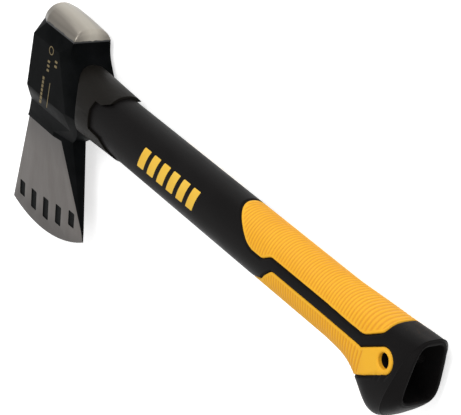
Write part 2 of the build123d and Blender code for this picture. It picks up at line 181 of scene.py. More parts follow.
def section_table():
    """Section sizes along the handle: u, x at y = 0, lean, low, high, half, fullness, narrowing.

    It is straight up to the flare, then swings down to the heel, then runs smoothly to the crease.
    """
    rows = []
    for x in (-400.0, FLARE_START - 0.01):
        rows.append((x, x, 0, HANDLE_LOW, HANDLE_HIGH, HANDLE_HALF, HANDLE_FULLNESS, 0))
    for along in np.linspace(0, 1, 43):
        low = HANDLE_LOW - HEEL_DROP * (1 - math.cos(math.pi * along ** FLARE_POWER)) / 2
        lean = HEEL_LEAN * along ** 2
        u = FLARE_START + (HEEL_X - FLARE_START) * along
        high = HANDLE_HIGH + HEEL_RISE * along ** 2
        half = HANDLE_HALF + POMMEL_SWELL * along
        fullness = HANDLE_FULLNESS + (POMMEL_FULLNESS - HANDLE_FULLNESS) * along
        rows.append((u, u - lean * low, lean, low, high, half, fullness, 0))
    heel = np.array(rows[-1])
    before = np.array(rows[-2])
    crease = np.array((HEEL_X + CREASE_X - heel[1], CREASE_X, CREASE_LEAN, heel[3] + CREASE_UP,
                       HANDLE_HIGH + CREASE_RISE, HANDLE_HALF + POMMEL_SWELL, POMMEL_FULLNESS,
                       POMMEL_NARROWING))
    run = crease[0] - heel[0]
    slope = (heel - before) / (heel[0] - before[0])
    end_slope = 1.5 * (crease - heel) / run - slope / 2
    for t in np.linspace(0, 1, 25)[1:]:
        hermite = ((2 * t ** 3 - 3 * t ** 2 + 1) * heel + (t ** 3 - 2 * t ** 2 + t) * run * slope
                   + (3 * t ** 2 - 2 * t ** 3) * crease + (t ** 3 - t ** 2) * run * end_slope)
        rows.append(tuple(hermite))
    return np.array(rows)


SECTIONS = section_table()
CREASE_U = SECTIONS[-1, 0]


def section_points(sizes, theta):
    """Points of superelliptic sections; sizes holds one array per size, and theta is 0 at the back."""
    x, lean, low, high, half, fullness, narrowing = sizes
    middle = (low + high) / 2
    depth = (high - low) / 2
    c, s = np.cos(theta), np.sin(theta)
    across = np.sign(c) * np.abs(c) ** (2 / fullness)
    y = middle + depth * across
    z = half * (1 - narrowing * across) * np.sign(s) * np.abs(s) ** (2 / fullness)
    return np.stack([x + lean * y, y, z], -1)


def handle_surface(u, theta):
    """Points of the handle's outer surface."""
    sizes = [np.interp(u, SECTIONS[:, 0], SECTIONS[:, k]) for k in range(1, 8)]
    return section_points(sizes, theta)


def lifted(u, theta, lift):
    """Handle surface moved out along its normal by lift."""
    step = 0.02
    points = handle_surface(u, theta)
    along = handle_surface(u + step, theta) - handle_surface(u - step, theta)
    around = handle_surface(u, theta + step) - handle_surface(u, theta - step)
    normal = np.cross(around, along)
    normal /= np.maximum(np.linalg.norm(normal, axis=-1, keepdims=True), 1e-9)
    outward = np.sign(np.sum(normal * (points - (0, CORE_LINE, 0)) * (0, 1, 1), -1, keepdims=True))
    return points + normal * outward * lift[..., None]


# ---------------------------------------------------------------- side-view outlines

def fillets(points, radii):
    """Closed outline with a small arc of about the given size at each corner."""
    points = np.array(points, float)
    result = []
    for k, corner in enumerate(points):
        back = points[k - 1] - corner
        ahead = points[(k + 1) % len(points)] - corner
        reach = min(radii[k], np.linalg.norm(back) * 0.45, np.linalg.norm(ahead) * 0.45)
        start = corner + back / np.linalg.norm(back) * reach
        end = corner + ahead / np.linalg.norm(ahead) * reach
        for t in np.linspace(0, 1, 7):
            result.append((1 - t) ** 2 * start + 2 * t * (1 - t) * corner + t ** 2 * end)
    return np.array(result)


def outline_distance(outline, x, y):
    """Signed distance from a closed outline, negative inside."""
    px, py = x.ravel(), y.ravel()
    best = np.full(px.shape, 1e9)
    inside = np.zeros(px.shape, bool)
    for k in range(len(outline)):
        ax, ay = outline[k - 1]
        bx, by = outline[k]
        dx, dy = bx - ax, by - ay
        length2 = max(dx * dx + dy * dy, 1e-12)
        t = np.clip(((px - ax) * dx + (py - ay) * dy) / length2, 0, 1)
        best = np.minimum(best, np.hypot(px - ax - t * dx, py - ay - t * dy))
        if ay != by:
            crosses = ((ay > py) != (by > py)) & (px < ax + (py - ay) * dx / dy)
            inside ^= crosses
    return np.where(inside, -best, best).reshape(x.shape)


FAR = 60.0
BACK_OUTLINE = fillets(
    [(-139, HANDLE_HIGH + 1), (-116, CORE_LINE + 1.6), (STEP_X, CORE_LINE + 1.6),
     (STEP_X + 6.5, BAND_HIGH), (SLOPE_X, BAND_HIGH), (SLOPE_X + 11, BAND_HIGH + 7),
     (-5.5, HANDLE_HIGH - 0.5), (-5.5, FAR), (-139, FAR)],
    [4, 7, 1.5, 1.5, 2.5, 5, 3, 1, 1])
BELLY_OUTLINE = fillets(
    [(-119, -FAR), (-119, HANDLE_LOW + 1), (-111.5, HANDLE_LOW + 3), (-104, HANDLE_LOW + 6),
     (STEP_X + 3, BAND_LOW - 6), (STEP_X + 9.5, BAND_LOW), (SLOPE_X, BAND_LOW), (SLOPE_X + 8, BAND_LOW - 12),
     (-11.5, BAND_LOW - 15), (-13, BAND_LOW - 18), (-13, -FAR)],
    [1, 1, 2, 3, 2, 2, 2, 1.5, 1.5, 2, 1])


def back_distance(points):
    """Distance outside the back panel's outline."""
    return outline_distance(BACK_OUTLINE, points[..., 0], points[..., 1])


def belly_distance(points):
    """Distance outside the belly panel, which ends along the lower edge of its slanting tab."""
    x, y = points[..., 0], points[..., 1]
    panel = outline_distance(BELLY_OUTLINE, x, y)
    along = x * math.cos(TAB_ANGLE) + y * math.sin(TAB_ANGLE)
    across = y * math.cos(TAB_ANGLE) - x * math.sin(TAB_ANGLE)
    panel = np.maximum(panel, -across - TAB_RADIUS)
    clamped = np.clip(along, -TAB_LENGTH, 0)
    tab = np.hypot(along - clamped, across) - TAB_RADIUS
    h = np.clip(0.5 + (panel - tab) / (2 * TAB_BLEND), 0, 1)
    return panel * (1 - h) + tab * h - TAB_BLEND * h * (1 - h)


def hole_distance(points):
    """Distance outside the lanyard hole's wall."""
    return np.hypot(points[..., 0], points[..., 1]) - HOLE_RADIUS


# ---------------------------------------------------------------- meshes on the handle

def grid_faces(rows, columns, keep=None, closed=False):
    """Quads of a grid; keep marks the ones to make."""
    faces = []
    last = columns if closed else columns - 1
    for i in range(rows - 1):
        for j in range(last):
            if keep is not None and not keep[i, j]:
                continue
            k = (j + 1) % columns
            faces.append((i * columns + j, (i + 1) * columns + j, (i + 1) * columns + k, i * columns + k))
    return faces


def compact(vertices, faces, values):
    """Only the vertices, and their values, that a face uses."""
    used = np.unique(np.concatenate([np.asarray(face) for face in faces]))
    place = {old: new for new, old in enumerate(used.tolist())}
    renumbered = [[place[int(corner)] for corner in face] for face in faces]
    return vertices[used], renumbered, values[used]


HALVINGS = 14


def clipped_grid(u, theta, distance):
    """Grid cut off exactly where distance is 0: u and theta of every point, and the faces inside.

    The crossing on each grid line is found by halving.
    """
    value = distance(handle_surface(u, theta))
    index = np.arange(u.size).reshape(u.shape)
    us = [u.ravel()]
    thetas = [theta.ravel()]
    cuts = {}
    count = u.size
    for one, two in ((np.s_[:-1, :], np.s_[1:, :]), (np.s_[:, :-1], np.s_[:, 1:])):
        crossing = (value[one] < 0) != (value[two] < 0)
        ends = [np.stack([u[part][crossing], theta[part][crossing]]) for part in (one, two)]
        inside = value[one][crossing] < 0
        low = np.where(inside, ends[0], ends[1])
        high = np.where(inside, ends[1], ends[0])
        for _ in range(HALVINGS):
            middle = (low + high) / 2
            inner = distance(handle_surface(middle[0], middle[1])) < 0
            low = np.where(inner, middle, low)
            high = np.where(inner, high, middle)
        for first, second in zip(index[one][crossing], index[two][crossing]):
            cuts[first, second] = cuts[second, first] = count
            count += 1
        us.append(low[0])
        thetas.append(low[1])
    flat = value.ravel()
    faces = []
    for quad in grid_faces(*u.shape):
        corners = []
        for first, second in zip(quad, quad[1:] + quad[:1]):
            if flat[first] < 0:
                corners.append(first)
            if (flat[first] < 0) != (flat[second] < 0):
                corners.append(cuts[first, second])
        if len(corners) > 2:
            faces.append(corners)
    return np.concatenate(us), np.concatenate(thetas), faces


def panel_piece(name, distance, u_range, theta_range, rib_end, material):
    """Soft panel: a rounded edge, a plain border and fine ribs across the handle."""
    us = np.arange(*u_range, PANEL_STEP)
    thetas = np.arange(*theta_range, PANEL_TURN)
    u, theta = np.meshgrid(us, thetas, indexing="ij")
    u, theta, faces = clipped_grid(u, theta, distance)
    points = handle_surface(u, theta)
    depth = -distance(points)
    edge = -PANEL_EDGE * (1 - smoothstep(-0.05, 0.55, depth)) ** 2
    ribbed = smoothstep(BORDER - 0.3, BORDER + 0.3, depth) * smoothstep(0.5, 2.5, rib_end - u)
    valley = ribbed * (1 - (0.5 + 0.5 * np.cos(2 * np.pi * u / RIB_PITCH)) ** 0.6)
    vertices = lifted(u, theta, edge - RIB_HEIGHT * valley - PANEL_SINK)
    vertices, faces, valley = compact(vertices, faces, valley)
    piece = mesh_object(name, vertices, faces, material)
    # The valley attribute also sets the painted shade between the ribs.
    attribute = piece.data.attributes.new("valley", "FLOAT", "POINT")
    attribute.data.foreach_set("value", valley.astype(np.float32))
    return piece


def mouth_sizes(x, wall, scale=1.0):
    """Section sizes of the pommel's end, moved in by wall."""
    low = (HANDLE_LOW - HEEL_DROP + LIP_UP + LIP_WALL_LOW * wall) * scale
    high = (HANDLE_HIGH + LIP_RISE - LIP_WALL_HIGH * wall) * scale
    half = (HANDLE_HALF + POMMEL_SWELL - LIP_SIDE_INSET - wall) * scale
    return np.array([x, LIP_LEAN, low, high, half, LIP_FULLNESS + wall, LIP_NARROWING])


def jacket_piece(material):
    """Black jacket with pockets for the panels, the bevelled pommel, its rim and the hollow inside."""
    theta_line = np.linspace(0, 2 * np.pi, JACKET_COLUMNS, endpoint=False)
    plain = np.arange(JACKET_START, PLAIN_END, PLAIN_STEP)
    grip = np.arange(GRIP_START, GRIP_END, GRIP_STEP)
    tab = np.append(np.arange(GRIP_END, CREASE_U, TAB_STEP), CREASE_U)
    u, theta = np.meshgrid(np.concatenate((plain, grip, tab)), theta_line, indexing="ij")
    points = handle_surface(u, theta)
    outside = np.minimum(back_distance(points), belly_distance(points))
    pocket = 1 - smoothstep(GROOVE - 0.3, GROOVE + 0.3, outside)
    rows = [lifted(u, theta, -POCKET_DEPTH * pocket)]
    keep = [hole_distance(points) > HOLE_MARGIN]

    def add(sizes):
        columns = [np.full((1, JACKET_COLUMNS), value) for value in sizes]
        rows.append(section_points(columns, theta_line[None, :]))
        keep.append(hole_distance(rows[-1]) > 0)

    crease = SECTIONS[-1, 1:]
    lip = mouth_sizes(LIP_X, 0)
    for t, proud in CREASE_BEAD:
        add(crease * (1 - t) + lip * t + np.array([0, 0, -proud, proud, proud, 0, 0]))
    for t in np.linspace(0, 1, BEVEL_ROWS)[1:-1]:
        add(crease * (1 - t) + lip * t)
    for back, wall in LIP_RIM:
        add(mouth_sizes(LIP_X - back, wall))
    inner = mouth_sizes(HOLLOW_START, LIP_WALL)
    deep = mouth_sizes(HOLLOW_END, LIP_WALL, HOLLOW_TAPER)
    for t in np.linspace(0, 1, HOLLOW_ROWS)[1:]:
        add(inner * (1 - t) + deep * t)
    for shrink in (0.6, 0.2, 0.01):
        add(deep * (1, 1, shrink, shrink, shrink, 1, 1))
    keep = np.concatenate(keep)
    faces = grid_faces(*keep.shape, keep=keep, closed=True)
    vertices = np.concatenate(rows).reshape(-1, 3)
    vertices, faces, _ = compact(vertices, faces, vertices)
    return mesh_object("jacket", vertices, faces, material)


def side_height(x, y):
    """Height of the handle's side surface over the mid-plane, above a point of the side view."""
    u = np.interp(x, SECTIONS[:, 1] + SECTIONS[:, 2] * y, SECTIONS[:, 0])
    sizes = [np.interp(u, SECTIONS[:, 0], SECTIONS[:, k]) for k in range(3, 8)]
    low, high, half, fullness, narrowing = sizes
    across = (2 * y - low - high) / (high - low)
    return half * (1 - narrowing * across) * (1 - abs(across) ** fullness) ** (1 / fullness)


def bore_piece(name, side, radius, top_drop, bottom_drop, material):
    """Wall of the lanyard hole on one side, from one depth below the surface to another."""
    turns = 64
    vertices = []
    drops = np.linspace(top_drop, bottom_drop, 8)
    for drop in drops:
        for angle in np.linspace(0, 2 * math.pi, turns, endpoint=False):
            x, y = radius * math.cos(angle), radius * math.sin(angle)
            vertices.append((x, y, side * (side_height(x, y) - drop)))
    faces = grid_faces(len(drops), turns, closed=True)
    return mesh_object(name, vertices, faces, material)


def cut_form(form, cut_above):
    """Remove everything above a height in millimetres."""
    everything = form.verts[:] + form.edges[:] + form.faces[:]
    place = Vector((0, ORIGIN[1] + cut_above * MM, 0))
    bmesh.ops.bisect_plane(form, geom=everything, plane_co=place, plane_no=(0, 1, 0), clear_outer=True)


def weigh_edges(form, edge_width):
    """Write how much each edge is rounded, as a share of the widest rounding, which it returns."""
    weights = form.edges.layers.float.new("bevel_weight_edge")
    widths = {}
    for edge in form.edges:
        if len(edge.link_faces) == 2 and edge.calc_face_angle(0) > math.radians(9):
            ends = [(np.array(vertex.co) - ORIGIN) / MM for vertex in edge.verts]
            widths[edge] = edge_width(ends, [face.material_index for face in edge.link_faces])
    widest = max(widths.values())
    for edge, width in widths.items():
        edge[weights] = width / widest
    return widest


def bevelled(name, mesh, width):
    """New mesh with the weighted edges rounded and the sharp ones kept sharp in shading."""
    rough = bpy.data.objects.new(name + "_rough", mesh)
    bpy.context.scene.collection.objects.link(rough)
    bevel = rough.modifiers.new("edges", "BEVEL")
    bevel.limit_method = "WEIGHT"
    bevel.width = width * MM
    bevel.segments = 4
    bevel.use_clamp_overlap = True
    evaluated = rough.evaluated_get(bpy.context.evaluated_depsgraph_get())
    final = bpy.data.meshes.new_from_object(evaluated)
    bpy.data.objects.remove(rough)
    final.name = name
    final.shade_smooth()
    final.set_sharp_from_angle(angle=math.radians(32))
    return final


def softened(name, node, materials, face_slot, edge_width, cut_above=None):
    """A CAD node's shape with rounded edges.

    face_slot picks each face's material and edge_width each edge's rounding. Nothing is kept above
    cut_above.
    """
    mesh = frame["nodes"][node].data.copy()
    mesh.materials.clear()
    for material in materials:
        mesh.materials.append(material)
    form = bmesh.new()
    form.from_mesh(mesh)
    bmesh.ops.remove_doubles(form, verts=form.verts, dist=0.00001)
    if cut_above is not None:
        cut_form(form, cut_above)
    form.normal_update()
    for face in form.faces:
        centre = (np.array(face.calc_center_median()) - ORIGIN) / MM
        face.material_index = face_slot(centre, np.array(face.normal))
    bmesh.ops.dissolve_limit(form, angle_limit=math.radians(0.6), verts=form.verts, edges=form.edges,
                             delimit={"MATERIAL"})
    widest = weigh_edges(form, edge_width)
    form.to_mesh(mesh)
    form.free()
    piece = bpy.data.objects.new(name, bevelled(name, mesh, widest))
    bpy.context.scene.collection.objects.link(piece)
    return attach(piece, "root")


# ---------------------------------------------------------------- head and marks

EDGE_OVERHANG = 22.1
HEAD_FAR_X = HEAD_LOW[0] + EDGE_OVERHANG
EDGE_RADIUS = 111.0
EDGE_X = HEAD_FAR_X + 8.2
EDGE_Y = HEAD_LOW[1] + EDGE_RADIUS
EDGE_HALF = 0.25
GRIND_LINE = -33.0
GRIND_RISE = 6.65
GRIND_SLOPE = GRIND_RISE / (GRIND_LINE - HEAD_LOW[1])
RECESS_HIGH = -70.0
RECESS_START = HEAD_FAR_X - 20
RECESS_END = HEAD_FAR_X + 55
NECK_HIGH = -26.0

# Rounding of the head's edges: its body, its neck, the ground faces, and the blade's lower part
BODY_ROUND = 2.2
NECK_ROUND = 0.6
GROUND_ROUND = 0.3
BLADE_ROUND = 0.15

# Poll: its paint line, the plane where it is cut off the head, and its own shape
POLL_LINE = 32.0
POLL_CUT = 31.3
POLL_HALF = HEAD_HIGH[2] - 3.0
POLL_LENGTH = 40.0
POLL_FALL = 2.6
POLL_FALL_START = 6.0
POLL_FAR_ROUND = 3.0
POLL_NEAR_ROUND = 2.4
POLL_END_SHARE = 0.6
POLL_END_INSET = 3.0
POLL_INSET_SLOPE = 0.4
POLL_MARGIN = 0.02
POLL_ACROSS_POWER = 0.92
POLL_UP_POWER = 0.95

# Printed marks: room for them below the CAD's cheek, their level, and how far their rims sink
MARK_ROOM = 0.04
MARK_LEVEL = HEAD_HIGH[2] - 0.001
MARK_RIM = 0.06

# Slanted bars on the shaft, and how far they stand out and their rims sink
BAR_COUNT = 6
BAR_START = -226.0
BAR_PITCH = 10.0
BAR_WIDTH = 7.2
BAR_LOW = -5.8
BAR_HIGH = 7.6
BAR_SLANT = 0.3
BAR_RAISE = 0.06
BAR_RIM = 0.05


def head_slot(centre, normal):
    """0 for blackened steel, 1 for a ground face, 2 for the inside of a recess."""
    x, y, z = centre
    ground = EDGE_HALF + GRIND_SLOPE * (EDGE_RADIUS - math.hypot(x - EDGE_X, y - EDGE_Y))
    if y > GRIND_LINE + 0.5 or ground < -1:
        return 0
    if abs(abs(z) - ground) < 0.08 and abs(normal[2]) > 0.9:
        return 1
    in_reach = y < RECESS_HIGH and RECESS_START < x < RECESS_END
    if ground - 0.75 < abs(z) < ground - 0.05 and in_reach:
        return 2
    return 0


def head_edge(ends, slots):
    """Rounding of one edge of the head, by where it lies."""
    y = (ends[0][1] + ends[1][1]) / 2
    if max(abs(ends[0][1] - POLL_CUT), abs(ends[1][1] - POLL_CUT)) < 0.01:
        return 0.0
    if 2 in slots or y < RECESS_HIGH:
        return BLADE_ROUND
    if 1 in slots:
        return GROUND_ROUND
    return BODY_ROUND if y > NECK_HIGH else NECK_ROUND


def poll_piece(material):
    """Crowned poll: highest towards its far end and falling to the near one, with rounded ends."""
    rows, columns = 81, 49
    vertices = []
    for i in range(rows):
        d = POLL_LENGTH * (0.5 - 0.5 * math.cos(math.pi * i / (rows - 1)))
        half = POLL_HALF - max(0, POLL_END_INSET - POLL_INSET_SLOPE * d)
        fallen = (max(0, d - POLL_FALL_START) / (POLL_LENGTH - POLL_FALL_START)) ** 2
        crown = HEAD_HIGH[1] - POLL_CUT - POLL_FALL * fallen
        end = min(1, d / POLL_FAR_ROUND, (POLL_LENGTH - d) / POLL_NEAR_ROUND)
        share = POLL_END_SHARE + (1 - POLL_END_SHARE) * math.sqrt(1 - (1 - end) ** 2)
        rise = crown * share if 0 < i < rows - 1 else 0
        x = HEAD_FAR_X + min(max(d, POLL_MARGIN), POLL_LENGTH - POLL_MARGIN)
        for j in range(columns):
            angle = math.pi * j / (columns - 1)
            across = math.copysign(abs(math.cos(angle)) ** POLL_ACROSS_POWER, math.cos(angle))
            vertices.append((x, POLL_CUT + rise * math.sin(angle) ** POLL_UP_POWER, half * across))
    return mesh_object("poll", vertices, grid_faces(rows, columns), material)


def patch(name, x_low, x_high, y_low, y_high, slant, height, material):
    """Thin raised bar on a side of the tool, leaning along X by slant per unit of Y."""
    vertices = []
    s_line = np.linspace(0, 1, 9)
    t_line = np.linspace(0, 1, 15)
    for s in s_line:
        for t in t_line:
            y = y_low + (y_high - y_low) * t
            x = x_low + (x_high - x_low) * s + slant * (y - y_low)
            rim = min(s, 1 - s, t, 1 - t) == 0
            vertices.append((x, y, height(x, y, rim)))
    return mesh_object(name, vertices, grid_faces(len(s_line), len(t_line)), material)


def shaft_bars(material):
    """Generic slanted bars on both sides of the shaft."""
    for side, word in ((1, "top"), (-1, "under")):
        def height(x, y, rim):
            return side * (side_height(x, y) + (-BAR_RIM if rim else BAR_RAISE))
        for number in range(BAR_COUNT):
            low = BAR_START + number * BAR_PITCH
            name = f"bar_{word}_{number}"
            patch(name, low, low + BAR_WIDTH, BAR_LOW, BAR_HIGH, BAR_SLANT, height, material)


def ring_patch(name, x, y, radius, width, height, material):
    """Thin flat ring on a side of the tool."""
    turns = 48
    vertices = []
    for across in (-0.5, -0.45, 0.45, 0.5):
        reach = radius + width * across
        for angle in np.linspace(0, 2 * math.pi, turns, endpoint=False):
            px = x + reach * math.cos(angle)
            py = y + reach * math.sin(angle)
            vertices.append((px, py, height(px, py, abs(across) == 0.5)))
    return mesh_object(name, vertices, grid_faces(4, turns, closed=True), material)


def mark_row(name, count, x_low, x_high, first, pitch, length, slant, height, material):
    """Row of short bars, one above the other."""
    for number in range(count):
        low = first + number * pitch
        patch(f"{name}_{number}", x_low, x_high, low, low + length, slant, height, material)


def cheek_marks(material):
    """Small generic ring and rows of bars, pad-printed on both cheeks."""
    for side, word in ((1, "top"), (-1, "under")):
        def height(x, y, rim):
            return side * (MARK_LEVEL - (MARK_RIM if rim else 0))
        ring_patch(f"mark_{word}_ring", -326.6, 19.8, 2.3, 0.6, height, material)
        patch(f"mark_{word}_line", -323.7, -322.9, -14.2, 1.6, 0.0, height, material)
        mark_row(f"mark_{word}_row", 7, -332.2, -329.9, -14.6, 2.45, 1.95, 0.0, height, material)
        mark_row(f"mark_{word}_short", 3, -329.2, -326.4, 6.5, 2.7, 1.5, 0.2, height, material)
        mark_row(f"mark_{word}_side", 2, -321.4, -318.4, 12.0, 2.8, 1.5, 0.2, height, material)


def sink_cheeks(piece):
    """Lower both cheeks a little, so that marks on them stay inside the CAD's box."""
    sunk = (HEAD_HIGH[2] - MARK_ROOM) * MM
    for vertex in piece.data.vertices:
        vertex.co.z = min(max(vertex.co.z, ORIGIN[2] - sunk), ORIGIN[2] + sunk)


# ---------------------------------------------------------------- materials

def new_material(name, color, roughness, metallic=0.0, specular=0.5):
    """Principled material and its main nodes."""
    material = bpy.data.materials.new(name)
    material.use_nodes = True
    nodes = material.node_tree.nodes
    shader = nodes["Principled BSDF"]
    shader.inputs["Base Color"].default_value = (*color, 1)
    shader.inputs["Roughness"].default_value = roughness
    shader.inputs["Metallic"].default_value = metallic
    shader.inputs["Specular IOR Level"].default_value = specular
    material.diffuse_color = (*color, 1)
    return material, nodes, material.node_tree.links, shader


def noise(nodes, links, scale, detail=3.0, stretch=(1, 1, 1)):
    """Noise over the object's own coordinates, in metres, stretched along its axes."""
    place = nodes.new("ShaderNodeTexCoord")
    mapping = nodes.new("ShaderNodeMapping")
    mapping.inputs["Scale"].default_value = stretch
    texture = nodes.new("ShaderNodeTexNoise")
    texture.inputs["Scale"].default_value = scale
    texture.inputs["Detail"].default_value = detail
    links.new(place.outputs["Object"], mapping.inputs["Vector"])
    links.new(mapping.outputs["Vector"], texture.inputs["Vector"])
    return texture.outputs["Fac"]


def ramp(nodes, links, value, stops):
    """Colour ramp over a value."""
    node = nodes.new("ShaderNodeValToRGB")
    elements = node.color_ramp.elements
    while len(elements) < len(stops):
        elements.new(0.5)
    for element, (position, color) in zip(elements, stops):
        element.position = position
        element.color = (*color, 1)
    links.new(value, node.inputs["Fac"])
    return node.outputs["Color"]


def bump(nodes, links, shader, value, strength, distance):
    """Fine relief from a value."""
    node = nodes.new("ShaderNodeBump")
    node.inputs["Strength"].default_value = strength
    node.inputs["Distance"].default_value = distance
    links.new(value, node.inputs["Height"])
    links.new(node.outputs["Normal"], shader.inputs["Normal"])


def span(nodes, links, value, low, high, to_low, to_high):
    """Value mapped from one range to another, and held at its ends."""
    node = nodes.new("ShaderNodeMapRange")
    node.inputs["From Min"].default_value = low
    node.inputs["From Max"].default_value = high
    node.inputs["To Min"].default_value = to_low
    node.inputs["To Max"].default_value = to_high
    links.new(value, node.inputs["Value"])
    return node.outputs["Result"]


def maths(nodes, links, operation, value, number=0.0):
    """Result of a maths operation on a value and, where it takes one, a number."""
    node = nodes.new("ShaderNodeMath")
    node.operation = operation
    node.inputs[1].default_value = number
    links.new(value, node.inputs[0])
    return node.outputs["Value"]


def mixed(nodes, links, factor, first, second):
    """Blend from one colour to another; each is a colour output or plain numbers."""
    node = nodes.new("ShaderNodeMix")
    node.data_type = "RGBA"
    links.new(factor, node.inputs["Factor"])
    for socket, color in (("A", first), ("B", second)):
        if isinstance(color, tuple):
            node.inputs[socket].default_value = (*color, 1)
        else:
            links.new(color, node.inputs[socket])
    return node.outputs["Result"]


def position(nodes, links):
    """The object's own coordinates, one output an axis."""
    place = nodes.new("ShaderNodeTexCoord")
    axes = nodes.new("ShaderNodeSeparateXYZ")
    links.new(place.outputs["Object"], axes.inputs["Vector"])
    return axes.outputs


def moulded(name, color, light, roughness, grain, specular=0.1):
    """Moulded plastic or rubber with a fine grain and slight colour variation."""
    material, nodes, links, shader = new_material(name, color, roughness, specular=specular)
    patches = noise(nodes, links, 45, 4)
    links.new(ramp(nodes, links, patches, ((0.3, color), (0.7, light))), shader.inputs["Base Color"])
    fine = noise(nodes, links, grain, 2)
    rough = span(nodes, links, patches, 0.3, 0.7, roughness - 0.05, roughness + 0.07)
    links.new(rough, shader.inputs["Roughness"])
    bump(nodes, links, shader, fine, 0.35, 0.00012)
    return material


def ribbed_rubber():
    """Yellow rubber with painted shade: a deeper orange between its ribs."""
    material = moulded("yellow_grip", (0.89, 0.43, 0.017), (0.94, 0.49, 0.026), 0.55, 1500, 0.25)
    nodes, links = material.node_tree.nodes, material.node_tree.links
    base = nodes["Principled BSDF"].inputs["Base Color"]
    valley = nodes.new("ShaderNodeAttribute")
    valley.attribute_name = "valley"
    # Painted shade: the valleys between the ribs are mixed towards a deeper orange.
    depth = span(nodes, links, valley.outputs["Fac"], 0.1, 0.9, 0, 0.75)
    ridges = base.links[0].from_socket
    links.new(mixed(nodes, links, depth, ridges, (0.72, 0.27, 0.010)), base)
    return material


def head_steel():
    """Blackened forged steel."""
    dark, grey = (0.0016, 0.0020, 0.0021), (0.0042, 0.0046, 0.0050)
    material, nodes, links, shader = new_material("blackened_steel", dark, 0.4, specular=0.015)
    forged = noise(nodes, links, 90, 5)
    links.new(ramp(nodes, links, forged, ((0.35, dark), (0.7, grey))), shader.inputs["Base Color"])
    links.new(span(nodes, links, forged, 0.3, 0.7, 0.28, 0.42), shader.inputs["Roughness"])
    bump(nodes, links, shader, forged, 0.25, 0.0006)
    return material


def poll_steel():
    """Brushed steel with a painted highlight along its crown, and black paint up to a ragged line."""
    material, nodes, links, shader = new_material("poll_steel", (0.3, 0.28, 0.24), 0.36, 1.0)
    axes = position(nodes, links)
    offset = nodes.new("ShaderNodeMath")
    offset.operation = "MULTIPLY_ADD"
    offset.inputs[1].default_value = -0.0022
    links.new(noise(nodes, links, 190, 4), offset.inputs[0])
    links.new(axes["Y"], offset.inputs[2])
    line = ORIGIN[1] + POLL_LINE * MM - 0.0008
    bright = span(nodes, links, offset.outputs["Value"], line - 0.0001, line + 0.0001, 0, 1)
    brushed = noise(nodes, links, 300, 3, (0.05, 1, 1))
    steel = ramp(nodes, links, brushed, ((0.3, (0.160, 0.146, 0.126)), (0.7, (0.205, 0.187, 0.162))))
    # Painted highlight: the steel is coloured brighter along the middle of the crown, where the highlight
    # band falls.
    from_middle = maths(nodes, links, "SUBTRACT", axes["Z"], ORIGIN[2])
    crown = span(nodes, links, maths(nodes, links, "ABSOLUTE", from_middle), 0.002, 0.009, 1, 0)
    painted_highlight = mixed(nodes, links, crown, steel, (0.34, 0.315, 0.27))
    links.new(mixed(nodes, links, bright, (0.002, 0.0024, 0.0026), painted_highlight), shader.inputs["Base Color"])
    links.new(bright, shader.inputs["Metallic"])
    links.new(span(nodes, links, brushed, 0.3, 0.7, 0.3, 0.4), shader.inputs["Roughness"])
    bump(nodes, links, shader, brushed, 0.1, 0.0001)
    return material


def ground_steel():
    """Ground face: warm grey with fine lines down to the edge, and painted shade darkening it near the paint
    and the edge.
    """
    material, nodes, links, shader = new_material("ground_steel", (0.2, 0.185, 0.17), 0.45, 0.6)
    lines = noise(nodes, links, 420, 3, (1, 0.05, 1))
    broad = noise(nodes, links, 30, 2)
    # Painted shade: a colour ramp over height darkens the ground face towards the paint line and the cutting
    # edge.
    low, high = (ORIGIN[1] + y * MM for y in (HEAD_LOW[1], GRIND_LINE))
    rise = span(nodes, links, position(nodes, links)["Y"], low, high, 0, 1)
    painted_shade_stops = ((0, 0.62), (0.13, 0.72), (0.24, 1), (0.7, 1), (1, 0.6))
    painted_shade = ramp(nodes, links, rise, [(place, (grey, grey, grey)) for place, grey in painted_shade_stops])
    steel = ramp(nodes, links, lines, ((0.3, (0.138, 0.126, 0.118)), (0.7, (0.152, 0.139, 0.131))))
    shaded = nodes.new("ShaderNodeMix")
    shaded.data_type = "RGBA"
    shaded.blend_type = "MULTIPLY"
    shaded.inputs["Factor"].default_value = 1
    links.new(steel, shaded.inputs["A"])
    links.new(painted_shade, shaded.inputs["B"])
    links.new(shaded.outputs["Result"], shader.inputs["Base Color"])
    links.new(span(nodes, links, broad, 0.3, 0.7, 0.42, 0.55), shader.inputs["Roughness"])
    bump(nodes, links, shader, lines, 0.05, 0.0001)
    return material


def fibre(name, low, high):
    """Composite with fibres that run along the handle."""
    material, nodes, links, shader = new_material(name, low, 0.4)
    strands = noise(nodes, links, 500, 3, (0.03, 1, 1))
    links.new(ramp(nodes, links, strands, ((0.35, low), (0.65, high))), shader.inputs["Base Color"])
    bump(nodes, links, shader, strands, 0.2, 0.0001)
    return material


BLACK = moulded("black_jacket", (0.0056, 0.0051, 0.0051), (0.0078, 0.0071, 0.0071), 0.42, 2600, 0.04)
GUARD = moulded("black_guard", (0.0068, 0.0060, 0.0050), (0.0105, 0.0092, 0.0078), 0.45, 1800, 0.06)
YELLOW = ribbed_rubber()
BAR = moulded("yellow_bars", (0.86, 0.50, 0.05), (0.92, 0.58, 0.08), 0.5, 2200)
GOLD = moulded("muted_gold", (0.16, 0.125, 0.06), (0.22, 0.17, 0.085), 0.45, 2200)
RECESS = moulded("recess_black", (0.005, 0.0055, 0.0055), (0.009, 0.010, 0.010), 0.6, 1500, 0.04)
HEAD = head_steel()
POLL = poll_steel()
GROUND = ground_steel()

# ---------------------------------------------------------------- assembly

head = softened("forged_head", "axe_head", [HEAD, GROUND, RECESS], head_slot, head_edge, POLL_CUT)
sink_cheeks(head)
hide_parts("axe_head")
poll_piece(POLL)

guard = softened("guard", "strike_guard", [GUARD], lambda centre, normal: 0, lambda ends, slots: 0.5)
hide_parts("strike_guard")

